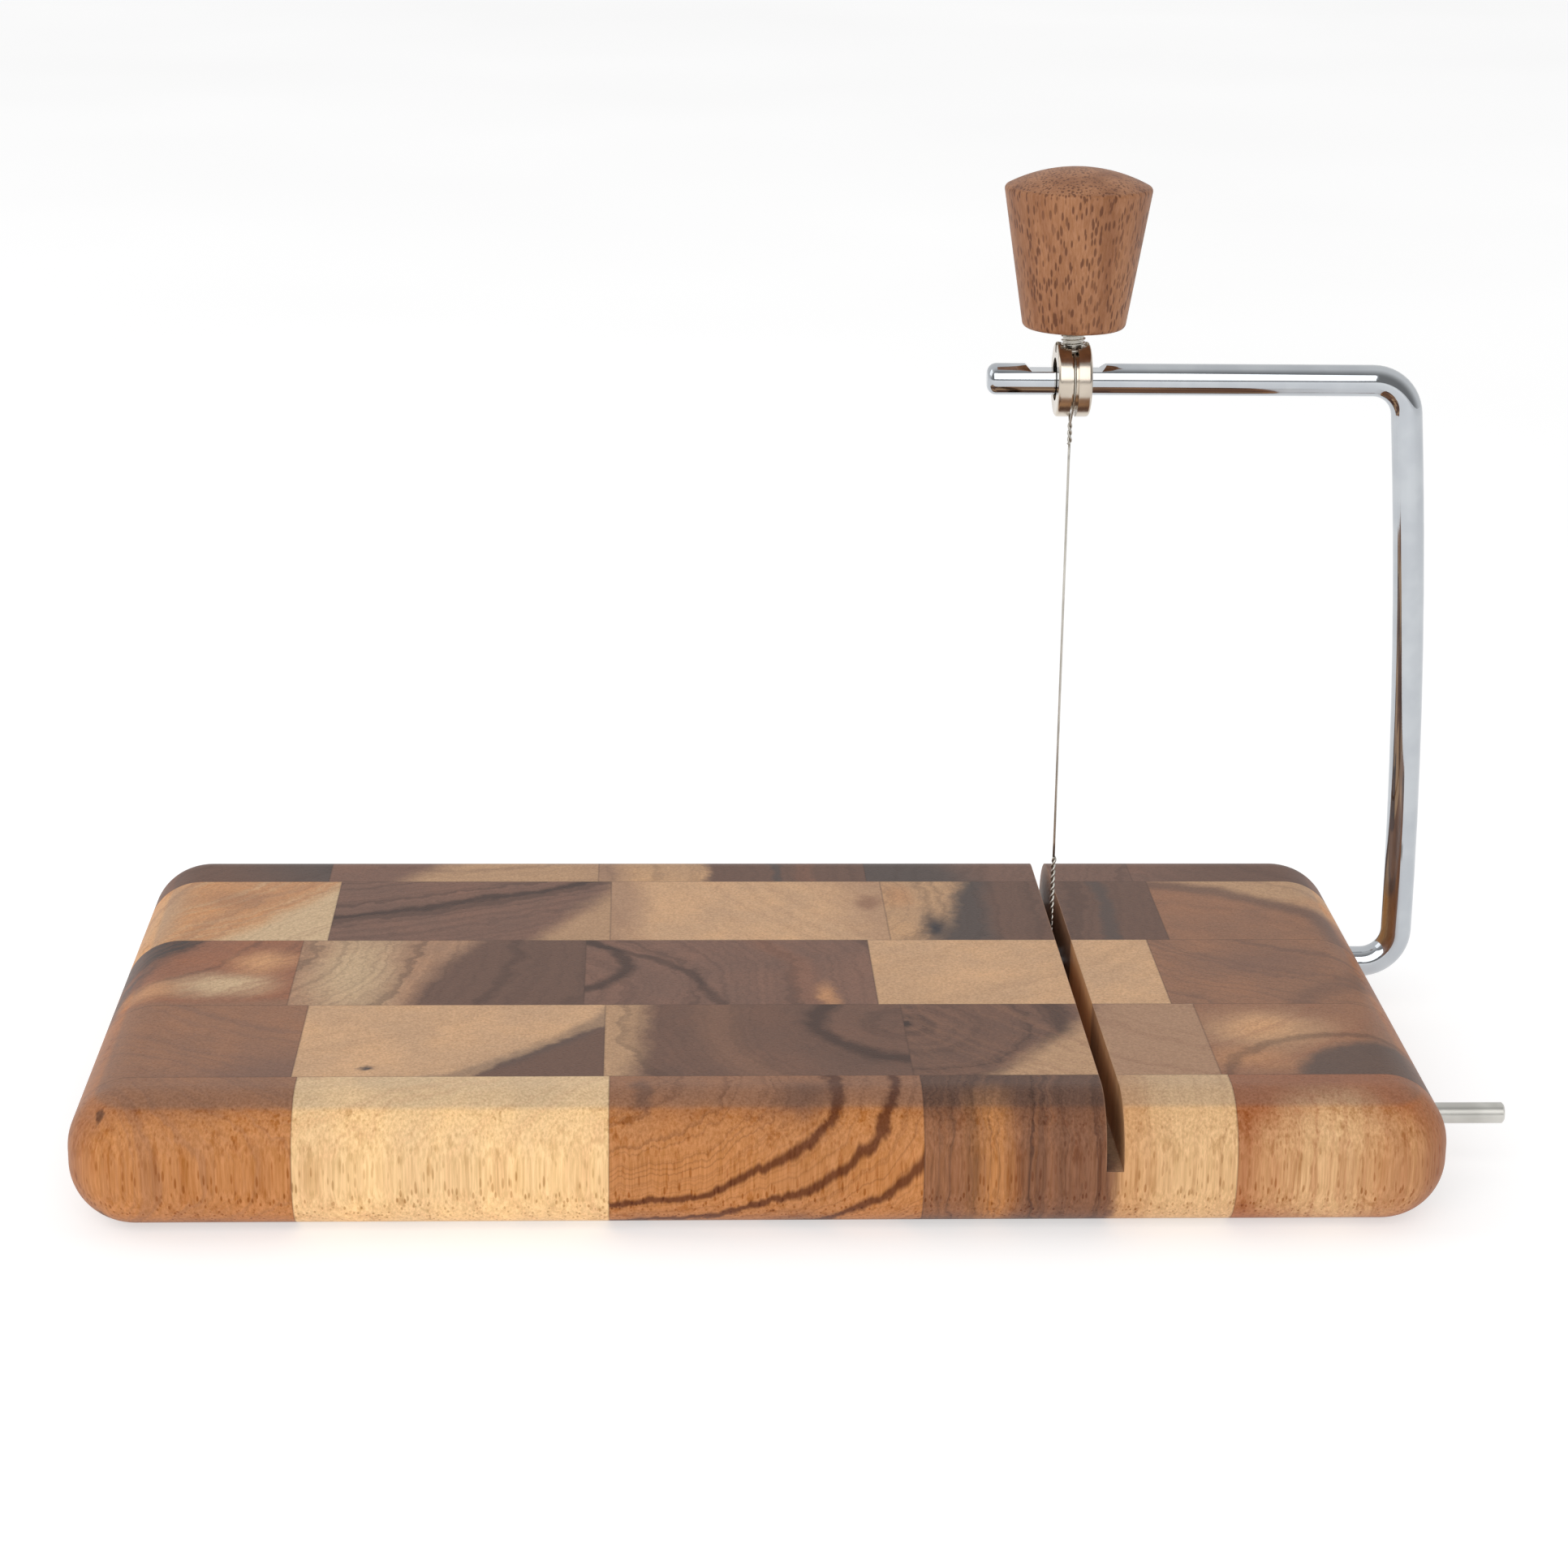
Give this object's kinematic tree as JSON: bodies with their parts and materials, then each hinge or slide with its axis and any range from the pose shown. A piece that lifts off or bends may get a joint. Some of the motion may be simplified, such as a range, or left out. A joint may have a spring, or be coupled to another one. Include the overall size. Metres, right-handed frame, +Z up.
{
  "type": "cheese wire cutter",
  "caption": "Rounded end-grain wooden board with a hinged bent-rod arm that pulls a tight steel wire down into a saw slot; a wooden knob sets the tension.",
  "frame": {"origin": "centre of the board's flat underside", "axes": "+X along the board towards the arm's pivot side, +Y towards the back edge, +Z up; the arm is stored upright"},
  "size_m": [0.2686, 0.146, 0.1802],
  "materials": {
    "acacia_dark": "satin oiled end grain",
    "acacia_brown": "satin oiled end grain",
    "acacia_tan": "satin oiled end grain",
    "acacia_cream": "satin oiled end grain",
    "acacia_orange": "satin oiled end grain",
    "knob_wood": "satin, turned",
    "satin_stainless": "satin",
    "chrome_plate": "bright plated",
    "satin_nickel": "satin, turned",
    "plated_steel": "plated thread",
    "steel_wire": "drawn"
  },
  "bodies": {
    "board": {"board_block_a1": "acacia_dark", "board_block_a2": "acacia_brown", "board_block_a3": "acacia_tan", "board_block_a4": "acacia_dark", "board_block_a5": "acacia_dark", "board_block_b1": "acacia_orange", "board_block_b2": "acacia_dark", "board_block_b3": "acacia_tan", "board_block_b4": "acacia_dark", "board_block_b5": "acacia_brown", "board_block_c1": "acacia_orange", "board_block_c2": "acacia_cream", "board_block_c3": "acacia_dark", "board_block_c4": "acacia_tan", "board_block_c5": "acacia_brown", "board_block_d1": "acacia_brown", "board_block_d2": "acacia_tan", "board_block_d3": "acacia_dark", "board_block_d4": "acacia_brown", "board_block_d5": "acacia_orange", "board_block_e1": "acacia_brown", "board_block_e2": "acacia_cream", "board_block_e3": "acacia_orange", "board_block_e4": "acacia_dark", "board_block_e5": "acacia_orange", "stop_pin": "satin_stainless"},
    "arm": {"cutter_arm": "chrome_plate", "wire_lower_end": "steel_wire", "wire_span": "steel_wire"},
    "collar": {"tension_collar": "satin_nickel", "wire_upper_end": "steel_wire"},
    "knob": {"knob": "knob_wood", "knob_stud": "plated_steel"}
  },
  "joints": [
    {"name": "arm_pivot", "type": "hinge", "parent": "board", "child": "arm", "pos_m": [0.127, 0.036, 0.0135], "axis": [1, 0, 0], "range_deg": [-88, 86.4]},
    {"name": "knob_turn", "type": "hinge", "parent": "arm", "child": "knob", "pos_m": [0.0639, 0.036, 0.1485], "axis": [0, 0, 1], "range_deg": [0, 540]},
    {"name": "collar_lift", "type": "slide", "parent": "arm", "child": "collar", "axis": [0, 0, 1], "range_m": [-0.00121, 0], "deforming": ["wire_span"]}
  ],
  "couplings": [
    {"joint": "collar_lift", "follows": "knob_turn", "m_per_rad": -0.00012732}
  ]
}
